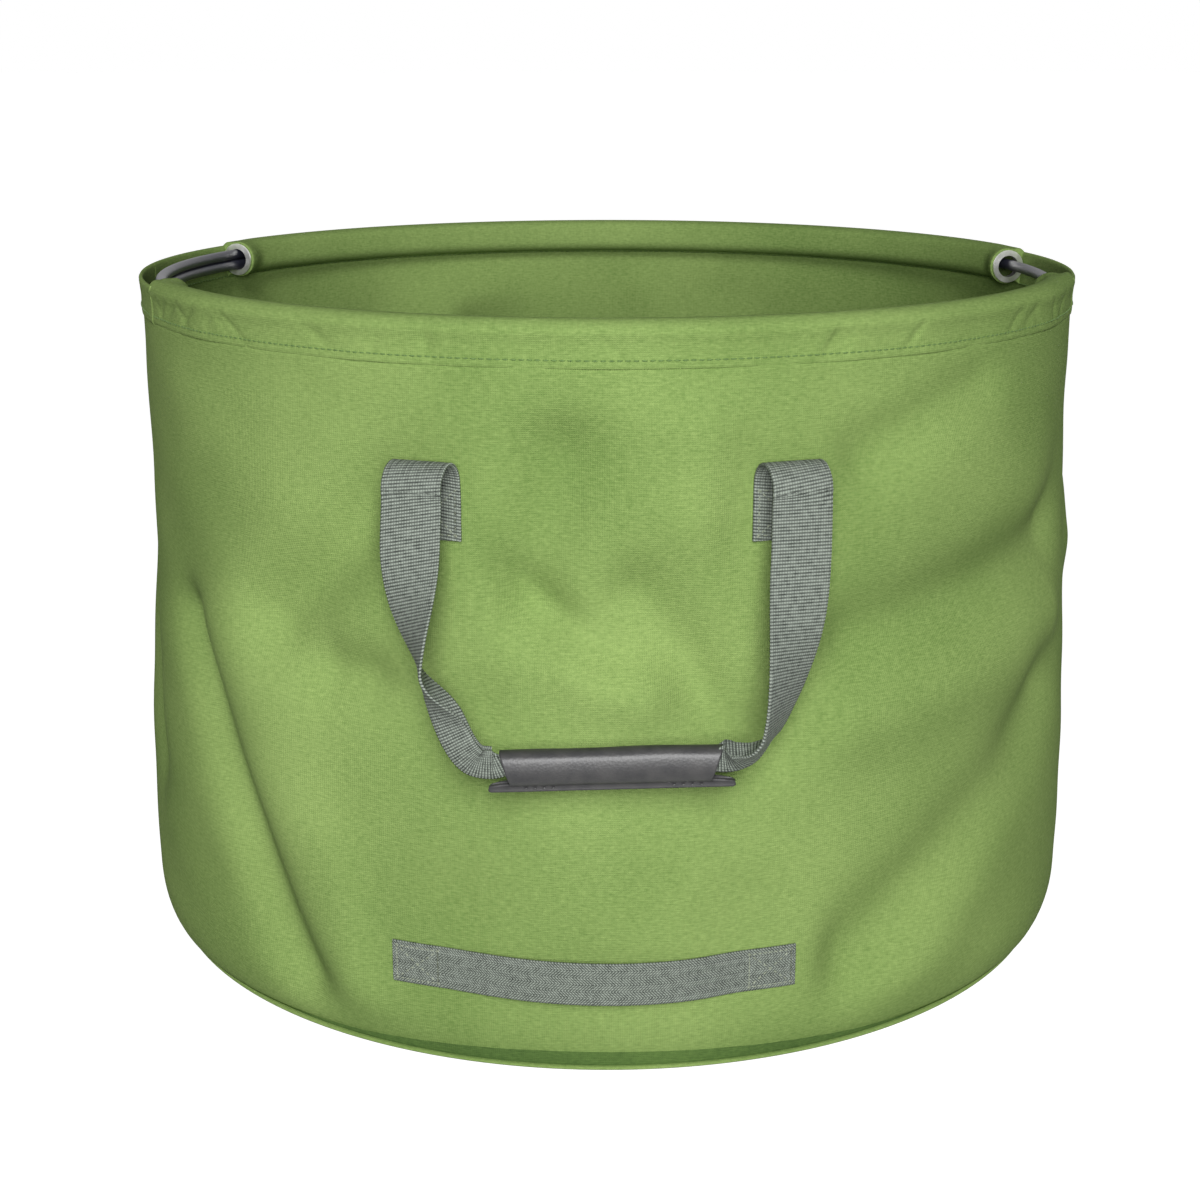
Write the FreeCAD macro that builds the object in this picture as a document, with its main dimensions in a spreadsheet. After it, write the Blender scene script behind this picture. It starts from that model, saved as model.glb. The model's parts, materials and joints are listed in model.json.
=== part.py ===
"""Collapsible round canvas harvesting bag with a hoop rim, as a FreeCAD document.

Frame: the origin is the middle of the base where it stands, +Z is up, and -Y is the front,
the side with the short handle low on the wall. Millimetres and degrees.
"""
import math
import FreeCAD, Part
import os
import re
import Sketcher
from FreeCAD import Placement, Rotation, Vector

doc = FreeCAD.newDocument("HarvestBag")

# ---------------------------------------------------------------- driving sizes
DRIVING_SIZES = (
    ("rim_diameter", 450.0),          # outside of the finished rim
    ("bag_height", 320.0),            # floor to the top of the rim
    ("canvas", 1.2),                  # coated canvas, one layer
    ("soft_gap", 0.3),                # clearance between pieces that move apart
    ("wall_inset", 1.5),              # wall set in from the rim and from the base's edge
    ("hem_ease", 2.1),                # casing's height beyond its layers and the washers
    ("binding", 2.4),                 # folded binding tape
    ("base_seam", 8.0),               # seam allowance inside, round the base
    ("side_seam", 8.0),               # seam allowance inside, up each side
    ("side_seam_stop", 6.0),          # side binding ends this far below the hem
    ("rod_diameter", 5.2),            # glass-fibre hoop
    ("rod_clear", 0.1),               # between the turns where the hoop lies double
    ("hoop_overlap", 90.0),           # angle over which the hoop lies double
    ("left_window", 46.0),            # angle of the open window over the doubled hoop
    ("right_window", 28.0),           # angle of the open window opposite
    ("eyelet_ease", 0.5),             # eyelet's bore beyond the doubled hoop
    ("flange_width", 2.75),
    ("eyelet_metal", 0.6),            # barrel wall
    ("flange_metal", 1.0),
    ("flange_seat", 0.08),            # flat flange to the end wall, which is a little oblique
    ("eyelet_fit", 0.2),              # barrel to canvas and barrel to washer
    ("washer_width", 0.3),
    ("rod_offset", 0.8),              # hoop lies this much outside the eyelet's centre
    ("eyelet_drop", 0.8),             # single hoop rides this much above the eyelet's centre
    ("pocket_angle", 3.2),            # wider end of the casing behind each eyelet
    ("webbing", 25.0),                # carry handle webbing, width
    ("webbing_layer", 1.5),
    ("loop_radius", 10.0),            # fold of the webbing over its top
    ("handle_spread", 146.0),         # between the middles of the two carry straps
    ("hinge_drop", 48.0),             # from the hem down to where the carry loops fold
    ("patch_height", 23.0),           # sewn length of webbing below the fold
    ("tack_inset", 3.0),              # stitching inside a patch's edge
    ("tack_line", 1.2),
    ("thread", 0.5),
    ("grip_drop", 106.0),             # from the fold down to the middle of the carry grip
    ("grip_stand", 24.5),             # wall to the middle of the carry grip
    ("grip_length", 90.0),
    ("fin_length", 100.0),            # sewn edge below the grip's sleeve
    ("fin_drop", 3.6),
    ("fin_thick", 3.0),
    ("leather", 1.5),
    ("sleeve_fit", 0.3),              # leather to the folded webbing
    ("core_length", 100.0),
    ("core_height", 9.5),             # webbing folded lengthwise inside the grip
    ("core_thick", 6.0),
    ("grip_round", 2.8),              # fillet on the sleeve's long edges
    ("stitch_pitch", 3.5),
    ("stitch_wave", 2.0),
    ("stitch_place", 31.0),           # middle of each stitch group from the grip's middle
    ("knee_spread", 66.0),            # where the strap folds over towards the grip
    ("knee_drop", 86.0),
    ("knee_stand", 27.5),
    ("low_webbing", 19.0),            # short handle's webbing, width
    ("low_layer", 1.4),
    ("low_height", 43.0),             # middle of the short handle's sewn ends
    ("low_shift", -6.0),              # short handle's middle, along the wall
    ("low_reach", 87.0),              # along the wall from its middle to its sewn end
    ("low_patch", 22.5),              # sewn length at each end
    ("low_stand", 8.5),               # how far the short handle stands off the wall
    ("low_sag", 7.0),
)
sheet = doc.addObject("Spreadsheet::Sheet", "Sizes")
for row, (alias, number) in enumerate(DRIVING_SIZES, start=1):
    sheet.set("A%d" % row, str(number))
    sheet.setAlias("A%d" % row, alias)
doc.recompute()


SIZE_NAMES = re.compile(r"\b(%s)\b" % "|".join(alias for alias, _ in DRIVING_SIZES))


def formula(text):
    """Formula over the sheet, from a text in which each size is written by its name."""
    return SIZE_NAMES.sub(r"Sizes.\1", text)


def size(text):
    """The number that a formula over the sheet gives now."""
    result = sheet.evalExpression(formula(text))
    return float(getattr(result, "Value", result))


# ---------------------------------------------------------------- derived sizes, as formulas
ROD_RISE = "(rod_diameter + rod_clear)"
EYELET_BORE = "(rod_diameter + %s + eyelet_ease)" % ROD_RISE
EYELET_FLANGE = "(%s + 2 * flange_width)" % EYELET_BORE
WASHER_HOLE = "(%s + 2 * eyelet_metal + 2 * eyelet_fit)" % EYELET_BORE
WASHER = "(%s + 2 * washer_width)" % WASHER_HOLE
HEM_DEPTH = "(%s + 2 * canvas + soft_gap + hem_ease)" % WASHER
RIM = "(rim_diameter / 2)"
WALL = "(rim_diameter / 2 - wall_inset)"
WALL_INSIDE = "(%s - canvas)" % WALL
WALL_TOP = "(bag_height - %s)" % HEM_DEPTH
HEM_LOW = "(%s + soft_gap)" % WALL_TOP
HEM_HIGH = "(bag_height - %s)" % HEM_LOW
FLAT_HEM = "(%s - 2 * canvas)" % RIM
EYELET_RING = "(%s - soft_gap - %s / 2)" % (FLAT_HEM, EYELET_FLANGE)
HOOP_RING = "(%s + rod_offset)" % EYELET_RING
CASING_VOID = "(%s - rod_diameter / 2 - soft_gap)" % HOOP_RING
CASING = "(%s - canvas)" % CASING_VOID
POCKET_VOID = "(%s - %s / 2 - soft_gap)" % (EYELET_RING, WASHER)
POCKET = "(%s - canvas)" % POCKET_VOID
CASING_FACE = "(%s - canvas)" % RIM
END_WALL = "(canvas / %s * 180 / 3.14159265)" % EYELET_RING
HOOP_MIDDLE = "((%s + bag_height) / 2)" % HEM_LOW
HOOP_START = "(180 - hoop_overlap / 2)"
HOOP_LOW = "(%s - %s * (0.5 + hoop_overlap / 720))" % (HOOP_MIDDLE, ROD_RISE)
PATCH_FACE = "(%s + soft_gap)" % WALL
LOOP_RING = "(%s + webbing_layer / 2 + loop_radius)" % PATCH_FACE
STRAP_RING = "(%s + loop_radius)" % LOOP_RING
HANDLE_ANGLE = "(asin(handle_spread / 2 / %s) / 1 deg)" % LOOP_RING
HINGE = "(%s - hinge_drop)" % WALL_TOP
GRIP_HEIGHT = "(%s - grip_drop)" % HINGE
GRIP_REACH = "(%s + grip_stand)" % WALL
SLEEVE_HEIGHT = "(core_height + 2 * sleeve_fit + 2 * leather)"
SLEEVE_THICK = "(core_thick + 2 * sleeve_fit + 2 * leather)"
LOW_FACE = PATCH_FACE

UP = Vector(0, 0, 1)
FRONT, REAR = 270.0, 90.0
SUB_PARTS = []


def keep(item, label):
    """Names a sub-part after its node and lists it for the check and the export."""
    item.Label = label
    SUB_PARTS.append(item)
    return item


def bind(item, **formulas):
    """Ties properties of a document object to formulas over the sheet."""
    for name, text in formulas.items():
        item.setExpression(name, formula(text))


def about_z(angle, low="0", ring="0"):
    """Placement turned about the bag's axis, then moved out by a ring radius and up."""
    turn = Rotation(UP, angle)
    out = turn.multVec(Vector(size(ring), 0, size(low)))
    return Placement(out, turn)


# ---------------------------------------------------------------- primitives and sketches
def sector(name, inner, outer, low, tall, start, sweep):
    """Curved wall about the bag's axis: a cylinder's sector less the cylinder inside it."""
    outside = doc.addObject("Part::Cylinder", name + "_outside")
    bind(outside, Radius=outer, Height=tall, Angle=sweep)
    outside.Placement = about_z(size(start), low)
    inside = doc.addObject("Part::Cylinder", name + "_inside")
    bind(inside, Radius=inner, Height=tall)
    inside.Placement = about_z(size(start), low)
    wall = doc.addObject("Part::Cut", name)
    wall.Base = outside
    wall.Tool = inside
    return wall


def fused(name, pieces):
    """One solid of several overlapping ones."""
    union = doc.addObject("Part::MultiFuse", name)
    union.Shapes = pieces
    union.Refine = True
    return union


def cut(name, base, tool):
    """The base with the tool's space taken out."""
    rest = doc.addObject("Part::Cut", name)
    rest.Base = base
    rest.Tool = tool
    return rest


def new_body(label):
    """Body that is itself a sub-part."""
    return keep(doc.addObject("PartDesign::Body", label), label)


def new_sketch(body, role, name):
    """Sketch on one of the body's own origin planes."""
    sketch = body.newObject("Sketcher::SketchObject", name)
    plane = next(item for item in body.Origin.OriginFeatures if item.Role == role)
    sketch.AttachmentSupport = [(plane, "")]
    sketch.MapMode = "FlatFace"
    return sketch


def place_point(sketch, curve, end, across, along):
    """Holds a sketch point at formulas measured from the sketch's origin."""
    for kind, text, axis in (("DistanceX", across, -2), ("DistanceY", along, -1)):
        if text == "0":
            sketch.addConstraint(Sketcher.Constraint("PointOnObject", curve, end, axis))
            continue
        held = sketch.addConstraint(Sketcher.Constraint(kind, -1, 1, curve, end, size(text)))
        sketch.setExpression("Constraints[%d]" % held, formula(text))


def outline(sketch, corners):
    """Closed polygon in a sketch, each corner held by its two formulas."""
    points = [Vector(size(across), size(along), 0) for across, along in corners]
    count = len(points)
    first = sketch.GeometryCount
    for index in range(count):
        line = Part.LineSegment(points[index], points[(index + 1) % count])
        sketch.addGeometry(line, False)
    for index in range(count):
        after = first + (index + 1) % count
        sketch.addConstraint(Sketcher.Constraint("Coincident", first + index, 2, after, 1))
    for index, (across, along) in enumerate(corners):
        place_point(sketch, first + index, 1, across, along)


def circle(sketch, across, radius):
    """Circle on a sketch's horizontal axis."""
    middle = Vector(size(across), 0, 0)
    ring = sketch.addGeometry(Part.Circle(middle, UP, size(radius)), False)
    place_point(sketch, ring, 3, across, "0")
    held = sketch.addConstraint(Sketcher.Constraint("Radius", ring, size(radius)))
    sketch.setExpression("Constraints[%d]" % held, formula(radius))


def rectangle(across_low, along_low, across_high, along_high):
    """Corners of a rectangle between two corners."""
    return ((across_low, along_low), (across_high, along_low),
            (across_high, along_high), (across_low, along_high))


def turned(label, role, corners):
    """Ring turned from an outline about the vertical axis of its sketch."""
    body = new_body(label)
    sketch = new_sketch(body, role, label + "_profile")
    outline(sketch, corners)
    ring = body.newObject("PartDesign::Revolution", label + "_turn")
    ring.Profile = sketch
    ring.ReferenceAxis = (sketch, ["V_Axis"])
    ring.Angle = 360
    return body


def padded(body, sketch, name, length):
    """Pad of a sketch, half its length to each side."""
    pad = body.newObject("PartDesign::Pad", name)
    pad.Profile = sketch
    pad.SideType = "Symmetric"
    pad.setExpression("Length", formula(length))
    return pad


def along_wall(length, ring=WALL):
    """Angle, as a formula, that a length along the wall covers."""
    return "(%s / %s * 180 / 3.14159265)" % (length, ring)


# ---------------------------------------------------------------- base and wall
def base_panel():
    body = new_body("base_panel")
    sketch = new_sketch(body, "XY_Plane", "base_disc")
    circle(sketch, "0", "%s - soft_gap" % RIM)
    disc = body.newObject("PartDesign::Pad", "base_pad")
    disc.Profile = sketch
    disc.setExpression("Length", formula("canvas"))


def wall_panel(label, start):
    tall = "(%s - canvas)" % WALL_TOP
    keep(sector(label, WALL_INSIDE, WALL, "canvas", tall, start, "180"), label)


def base_binding():
    outer = "(%s - soft_gap)" % WALL_INSIDE
    inner = "(%s - binding)" % outer
    turned("base_seam_binding", "XZ_Plane",
           rectangle(inner, "canvas", outer, "canvas + base_seam"))


def side_binding(label, side):
    """Upright fin of seam allowance and tape inside the wall's side seam."""
    tape = keep(doc.addObject("Part::Box", label), label)
    low = "(canvas + base_seam + soft_gap)"
    bind(tape, Length="side_seam", Width="binding",
         Height="%s - side_seam_stop - %s" % (WALL_TOP, low))
    out = Vector(size("%s - soft_gap - side_seam" % WALL_INSIDE), -size("binding") / 2, size(low))
    turn = Rotation(UP, side)
    tape.Placement = Placement(turn.multVec(out), turn)


base_panel()
wall_panel("front_panel", "180")
wall_panel("rear_panel", "0")
base_binding()
side_binding("right_seam_binding", 0)
side_binding("left_seam_binding", 180)


# ---------------------------------------------------------------- rim: casing, hoop and eyelets
HOOP_ARCS = 10         # arcs that make up the hoop's slow helix


def eyelet_hole(name, angle, height):
    """Bore through a casing's end wall, along the hoop."""
    hole = doc.addObject("Part::Cylinder", name)
    bind(hole, Radius="%s / 2" % WASHER_HOLE, Height="6 * canvas")
    seat = about_z(angle, height, EYELET_RING)
    along_hoop = Placement(Vector(0, size("3 * canvas"), 0), Rotation(Vector(1, 0, 0), 90))
    hole.Placement = seat.multiply(along_hoop)
    return hole


def eyelet_height(angle):
    """Height of an eyelet: mid of the doubled hoop, or a little under the single one."""
    if abs(angle - 180) < size("hoop_overlap / 2"):
        return "%s + %s * (0.5 + (%s - %s) / 360)" % (HOOP_LOW, ROD_RISE, angle, HOOP_START)
    turned_to = angle if angle > 180 else angle + 360
    rise = "%s * (%s - %s) / 360" % (ROD_RISE, turned_to, HOOP_START)
    return "%s + %s - eyelet_drop" % (HOOP_LOW, rise)


def hem(label, low_window, low_end, high_end, high_window):
    """Half of the rim: a casing between two windows, where the hem is two flat layers."""
    parts = (
        ("casing", CASING, low_end, "(%s - %s)" % (high_end, low_end)),
        ("pocket_a", POCKET, low_end, "pocket_angle"),
        ("pocket_b", POCKET, "(%s - pocket_angle)" % high_end, "pocket_angle"),
        ("window_a", FLAT_HEM, low_window, "(%s - %s)" % (low_end, low_window)),
        ("window_b", FLAT_HEM, high_end, "(%s - %s)" % (high_window, high_end)),
    )
    solids = [sector("%s_%s" % (label, name), inner, RIM, HEM_LOW, HEM_HIGH, start, sweep)
              for name, inner, start, sweep in parts]
    void_low = "(%s + canvas)" % HEM_LOW
    void_tall = "(%s - 2 * canvas)" % HEM_HIGH
    start = "(%s + %s)" % (low_end, END_WALL)
    spaces = (
        ("void", CASING_VOID, start, "(%s - %s - %s)" % (high_end, END_WALL, start)),
        ("void_a", POCKET_VOID, start, "(pocket_angle - 2 * %s)" % END_WALL),
        ("void_b", POCKET_VOID, "(%s - pocket_angle + %s)" % (high_end, END_WALL),
         "(pocket_angle - 2 * %s)" % END_WALL),
    )
    voids = [sector("%s_%s" % (label, name), inner, CASING_FACE, void_low, void_tall, begin, sweep)
             for name, inner, begin, sweep in spaces]
    for name, end, inset in (("hole_a", low_end, 0.5), ("hole_b", high_end, -0.5)):
        angle = size(end)
        voids.append(eyelet_hole("%s_%s" % (label, name), angle + inset * size(END_WALL),
                                 eyelet_height(angle)))
    keep(cut(label, fused(label + "_solid", solids), fused(label + "_space", voids)), label)


def hoop():
    """Rod bent into a ring and a quarter, as ten arcs through points of its slow helix."""
    ring, start, low = size(HOOP_RING), size(HOOP_START), size(HOOP_LOW)
    sweep = 360 + size("hoop_overlap")

    def on_helix(share):
        turn = Rotation(UP, start + share * sweep)
        return turn.multVec(Vector(ring, 0, low + size(ROD_RISE) * share * sweep / 360))

    path = Part.Wire([Part.Arc(on_helix(index / HOOP_ARCS), on_helix((index + 0.5) / HOOP_ARCS),
                               on_helix((index + 1) / HOOP_ARCS)).toShape() for index in range(HOOP_ARCS)])
    first = path.Edges[0]
    disc = Part.Circle(on_helix(0), first.tangentAt(first.FirstParameter), size("rod_diameter / 2"))
    rod = keep(doc.addObject("Part::Feature", "hoop_rod"), "hoop_rod")
    rod.Shape = path.makePipeShell([Part.Wire(disc.toShape())], True, False)
    rod.Placement = Placement()


def hoop_tip(label, angle, height, flip):
    """Domed cap on an end of the rod."""
    dome = keep(doc.addObject("Part::Sphere", label), label)
    bind(dome, Radius="rod_diameter / 2")
    dome.Angle3 = 180
    seat = about_z(angle, height, HOOP_RING)
    dome.Placement = seat.multiply(Placement(Vector(), Rotation(UP, flip)))


def eyelet(place, angle, inward):
    """Rolled barrel and flange in a casing's end wall, with its washer inside the casing."""
    bore = "(%s / 2)" % EYELET_BORE
    barrel = "(%s + eyelet_metal)" % bore
    flange = "(%s / 2)" % EYELET_FLANGE
    wall_front = "flange_metal"
    wall_back = "(flange_metal + canvas)"
    flip = 0 if inward > 0 else 180
    face = angle - inward * size(along_wall("(flange_metal + flange_seat)", EYELET_RING))
    seat = about_z(face, eyelet_height(angle), EYELET_RING)
    ring = turned("eyelet_" + place, "XY_Plane", (
        (bore, "0"), (flange, "0"), (flange, wall_front),
        (barrel, wall_front), (barrel, "%s + 2 * flange_metal" % wall_back),
        (bore, "%s + 2 * flange_metal" % wall_back)))
    ring.Placement = seat.multiply(Placement(Vector(), Rotation(UP, flip)))
    washer = turned("washer_" + place, "XY_Plane", rectangle(
        "%s / 2" % WASHER_HOLE, "%s + eyelet_fit" % wall_back,
        "%s / 2" % WASHER, "%s + eyelet_fit + flange_metal" % wall_back))
    washer.Placement = ring.Placement


LEFT_LOW, LEFT_HIGH = "(180 - left_window / 2)", "(180 + left_window / 2)"
RIGHT_LOW, RIGHT_HIGH = "(right_window / 2)", "(360 - right_window / 2)"
hem("rear_hem", "0", RIGHT_LOW, LEFT_LOW, "180")
hem("front_hem", "180", LEFT_HIGH, RIGHT_HIGH, "360")
hoop()
TIP_BEYOND = size(along_wall("soft_gap / 4", HOOP_RING))
HOOP_END = size("%s + 360 + hoop_overlap" % HOOP_START)
hoop_tip("hoop_lower_tip", size(HOOP_START) - TIP_BEYOND, HOOP_LOW, 180)
hoop_tip("hoop_upper_tip", HOOP_END + TIP_BEYOND,
         "%s + %s * (1 + hoop_overlap / 360)" % (HOOP_LOW, ROD_RISE), 0)
eyelet("rear_left", size(LEFT_LOW), -1)
eyelet("front_left", size(LEFT_HIGH), 1)
eyelet("front_right", size(RIGHT_HIGH), -1)
eyelet("rear_right", size(RIGHT_LOW), 1)


# ---------------------------------------------------------------- carry handles, front and rear
def patch(label, layer, low, tall, middle, width):
    """Webbing sewn flat on the wall."""
    sweep = along_wall(width)
    start = "(%s - %s / 2)" % (middle, sweep)
    outer = "(%s + %s)" % (PATCH_FACE, layer)
    keep(sector(label, PATCH_FACE, outer, low, tall, start, sweep), label)


def tack(label, layer, low, tall, middle, width):
    """Frame of stitching that lies on a sewn patch."""
    face = "(%s + %s)" % (PATCH_FACE, layer)
    top = "(%s + thread)" % face
    frames = []
    for name, inset in (("edge", "tack_inset"), ("opening", "(tack_inset + tack_line)")):
        sweep = along_wall("(%s - 2 * %s)" % (width, inset))
        start = "(%s - %s / 2)" % (middle, sweep)
        frames.append(sector("%s_%s" % (label, name), face, top, "(%s + %s)" % (low, inset),
                             "(%s - 2 * %s)" % (tall, inset), start, sweep))
    keep(cut(label, frames[0], frames[1]), label)


def loop(label, angle):
    """Fold of the webbing over the top of its patch: half a flat ring."""
    body = new_body(label)
    sketch = new_sketch(body, "XZ_Plane", label + "_fold")
    radii = ("(loop_radius - webbing_layer / 2)", "(loop_radius + webbing_layer / 2)")
    ends = []
    for radius in radii:
        ring = Part.Circle(Vector(), UP, size(radius))
        arc = sketch.addGeometry(Part.ArcOfCircle(ring, 0, math.pi), False)
        sketch.addConstraint(Sketcher.Constraint("Coincident", arc, 3, -1, 1))
        held = sketch.addConstraint(Sketcher.Constraint("Radius", arc, size(radius)))
        sketch.setExpression("Constraints[%d]" % held, formula(radius))
        for end in (1, 2):
            sketch.addConstraint(Sketcher.Constraint("PointOnObject", arc, end, -1))
        ends.append(arc)
    for end, side in ((1, 1), (2, -1)):
        inner = Vector(side * size(radii[0]), 0, 0)
        outer = Vector(side * size(radii[1]), 0, 0)
        line = sketch.addGeometry(Part.LineSegment(inner, outer), False)
        sketch.addConstraint(Sketcher.Constraint("Coincident", line, 1, ends[0], end))
        sketch.addConstraint(Sketcher.Constraint("Coincident", line, 2, ends[1], end))
    padded(body, sketch, label + "_width", "webbing")
    body.Placement = about_z(angle, HINGE, LOOP_RING)


KNEE_LEAN = 0.8        # drop of the strap's inner edge at the knee, to its width across
ZIGZAG_POINTS = 7      # corners of one group of grip stitches


def section(middle, across, through, width, layer):
    """Rectangle wire of a strap: its width runs across, its layer through."""
    half = across.normalize() * (width / 2)
    deep = through.normalize() * (layer / 2)
    corners = [middle - half - deep, middle + half - deep,
               middle + half + deep, middle - half + deep]
    return Part.makePolygon(corners + corners[:1])


def strap(label, side, turn):
    """Webbing from the loop's outer end down to the grip, folded lengthwise on the way."""
    angle = size(HANDLE_ANGLE)
    swing = Rotation(UP, side * angle)
    top = swing.multVec(Vector(0, -size(STRAP_RING), size("%s - soft_gap" % HINGE)))
    knee = Vector(side * size("knee_spread"), -size("%s + knee_stand" % WALL),
                  size("%s - knee_drop" % HINGE))
    end = Vector(side * size("core_length / 2"), -size(GRIP_REACH), size(GRIP_HEIGHT))
    wires = [
        section(top, swing.multVec(Vector(1, 0, 0)), swing.multVec(Vector(0, -1, 0)),
                size("webbing"), size("webbing_layer")),
        section(knee, Vector(1, 0, -side * KNEE_LEAN), Vector(0, -1, 0),
                size("(webbing + core_height) / 2"), size("2 * webbing_layer")),
        section(end, Vector(0, 0, -side), Vector(0, -1, 0),
                size("core_height"), size("core_thick")),
    ]
    ribbon = keep(doc.addObject("Part::Feature", label), label)
    ribbon.Shape = Part.makeLoft(wires, True, True)
    ribbon.Placement = Placement(Vector(), Rotation(UP, turn))


def grip_core(label, turn):
    core = keep(doc.addObject("Part::Box", label), label)
    bind(core, Length="core_length", Width="core_thick", Height="core_height")
    corner = Vector(-size("core_length / 2"), -size("%s + core_thick / 2" % GRIP_REACH),
                    size("%s - core_height / 2" % GRIP_HEIGHT))
    core.Placement = Placement(Vector(), Rotation(UP, turn)).multiply(
        Placement(corner, Rotation()))


def grip_cover(label, turn):
    """Leather sleeve round the folded webbing, its two edges sewn together below as a fin."""
    body = new_body(label)
    sleeve = new_sketch(body, "YZ_Plane", label + "_sleeve")
    half_tall, half_thick = "(%s / 2)" % SLEEVE_HEIGHT, "(%s / 2)" % SLEEVE_THICK
    outline(sleeve, rectangle("-" + half_thick, "-" + half_tall, half_thick, half_tall))
    void_tall = "(%s - leather)" % half_tall
    void_thick = "(%s - leather)" % half_thick
    outline(sleeve, rectangle("-" + void_thick, "-" + void_tall, void_thick, void_tall))
    tube = padded(body, sleeve, label + "_tube", "grip_length")
    doc.recompute()
    corners = []
    for index, edge in enumerate(tube.Shape.Edges, start=1):
        at = edge.CenterOfMass
        outermost = (abs(abs(at.y) - size(half_thick)) < 1e-6
                     and abs(abs(at.z) - size(half_tall)) < 1e-6)
        if outermost and edge.BoundBox.XLength > size("grip_length") - 1e-6:
            corners.append("Edge%d" % index)
    rounded = body.newObject("PartDesign::Fillet", label + "_round")
    rounded.Base = (tube, corners)
    bind(rounded, Radius="grip_round")
    seam = new_sketch(body, "YZ_Plane", label + "_seam")
    fin_top = "-(%s - leather / 2)" % half_tall
    outline(seam, rectangle("-(fin_thick / 2)", "-(%s + fin_drop)" % half_tall,
                            "(fin_thick / 2)", fin_top))
    padded(body, seam, label + "_fin", "fin_length")
    middle = Vector(0, -size(GRIP_REACH), size(GRIP_HEIGHT))
    body.Placement = Placement(Vector(), Rotation(UP, turn)).multiply(
        Placement(middle, Rotation()))


def zigzag(label, side, turn):
    """Group of sewing stitches on the fin, as one thin zigzag line of thread."""
    pitch, wave, line = size("stitch_pitch"), size("stitch_wave"), size("tack_line")
    low = size("%s - %s / 2 - fin_drop / 2" % (GRIP_HEIGHT, SLEEVE_HEIGHT)) - line / 2
    start = side * size("stitch_place") - pitch * (ZIGZAG_POINTS - 1) / 4
    front = -size("%s + fin_thick / 2 + thread" % GRIP_REACH)
    under = [Vector(start + index * pitch / 2, front, low + (index % 2 - 0.5) * wave)
             for index in range(ZIGZAG_POINTS)]
    over = [point + Vector(0, 0, line) for point in reversed(under)]
    face = Part.Face(Part.makePolygon(under + over + under[:1]))
    stitches = keep(doc.addObject("Part::Feature", label), label)
    stitches.Shape = face.extrude(Vector(0, size("thread"), 0))
    stitches.Placement = Placement(Vector(), Rotation(UP, turn))


for end_name, facing, half_turn in (("front", FRONT, 0), ("rear", REAR, 180)):
    for side_name, side in (("left", -1), ("right", 1)):
        name = "%s_%s" % (end_name, side_name)
        across = side if end_name == "front" else -side
        middle = "(%s + %s * %s)" % (facing, across, HANDLE_ANGLE)
        low = "(%s - patch_height)" % HINGE
        tall = "(patch_height - soft_gap)"
        patch(name + "_patch", "webbing_layer", low, tall, middle, "webbing")
        tack(name + "_tack", "webbing_layer", low, tall, middle, "webbing")
        loop(name + "_loop", size(middle))
        strap(name + "_strap", across, half_turn)
        zigzag(name + "_stitches", across, half_turn)
    grip_core(end_name + "_grip_core", half_turn)
    grip_cover(end_name + "_grip_cover", half_turn)


# ---------------------------------------------------------------- short handle low on the front
LOW_MIDDLE = "(%s + %s)" % (FRONT, along_wall("low_shift"))
LOW_FREE = "(low_reach - low_patch)"


def low_ends():
    for side_name, side in (("left", -1), ("right", 1)):
        middle = "(%s + %d * %s)" % (LOW_MIDDLE, side, along_wall("(low_reach - low_patch / 2)"))
        low = "(low_height - low_webbing / 2)"
        patch("lower_%s_patch" % side_name, "low_layer", low, "low_webbing", middle, "low_patch")
        tack("lower_%s_tack" % side_name, "low_layer", low, "low_webbing", middle, "low_patch")


def low_strap():
    """Webbing between the sewn ends: it stands off the wall and sags by squared sines."""
    stations = 9
    reach = size("%s - 3 * soft_gap" % along_wall(LOW_FREE))
    ring = size("%s + low_layer / 2" % LOW_FACE)
    wires = []
    for index in range(stations):
        share = index / (stations - 1)
        angle = size(LOW_MIDDLE) + (2 * share - 1) * reach
        swell = size("sin(%s) ^ 2" % (180 * share))
        out = Rotation(UP, angle).multVec(Vector(1, 0, 0))
        middle = out * (ring + size("low_stand") * swell)
        middle.z = size("low_height") - size("low_sag") * swell
        wires.append(section(middle, Vector(0, 0, 1), out, size("low_webbing"),
                             size("low_layer")))
    ribbon = keep(doc.addObject("Part::Feature", "lower_strap"), "lower_strap")
    ribbon.Shape = Part.makeLoft(wires, True, True)
    ribbon.Placement = Placement()


low_ends()
low_strap()


# ---------------------------------------------------------------- check and export
doc.recompute()
faults = [item.Name for item in doc.Objects if {"Invalid", "Error"} & set(item.State)]
for item in SUB_PARTS:
    if item.Shape.isNull() or not item.Shape.isValid() or not item.Shape.Solids:
        faults.append(item.Label)
    elif len(item.Shape.Solids) != 1 or item.Shape.Volume <= 0:
        faults.append(item.Label + " is not one solid")
if faults:
    raise RuntimeError("failed objects: " + ", ".join(faults))
os.makedirs("parts", exist_ok=True)
for item in SUB_PARTS:
    item.Shape.exportStep("parts/%s.step" % item.Label)
    box = item.Shape.BoundBox
    print("%-20s %9.0f mm3  x %7.1f %7.1f  y %7.1f %7.1f  z %6.1f %6.1f" % (
        item.Label, item.Shape.Volume, box.XMin, box.XMax, box.YMin, box.YMax,
        box.ZMin, box.ZMax))
print("hinge of the carry handles: y %.3f" % -size("%s * cos(%s)" % (LOOP_RING, HANDLE_ANGLE)))
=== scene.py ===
import json
import math

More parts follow.
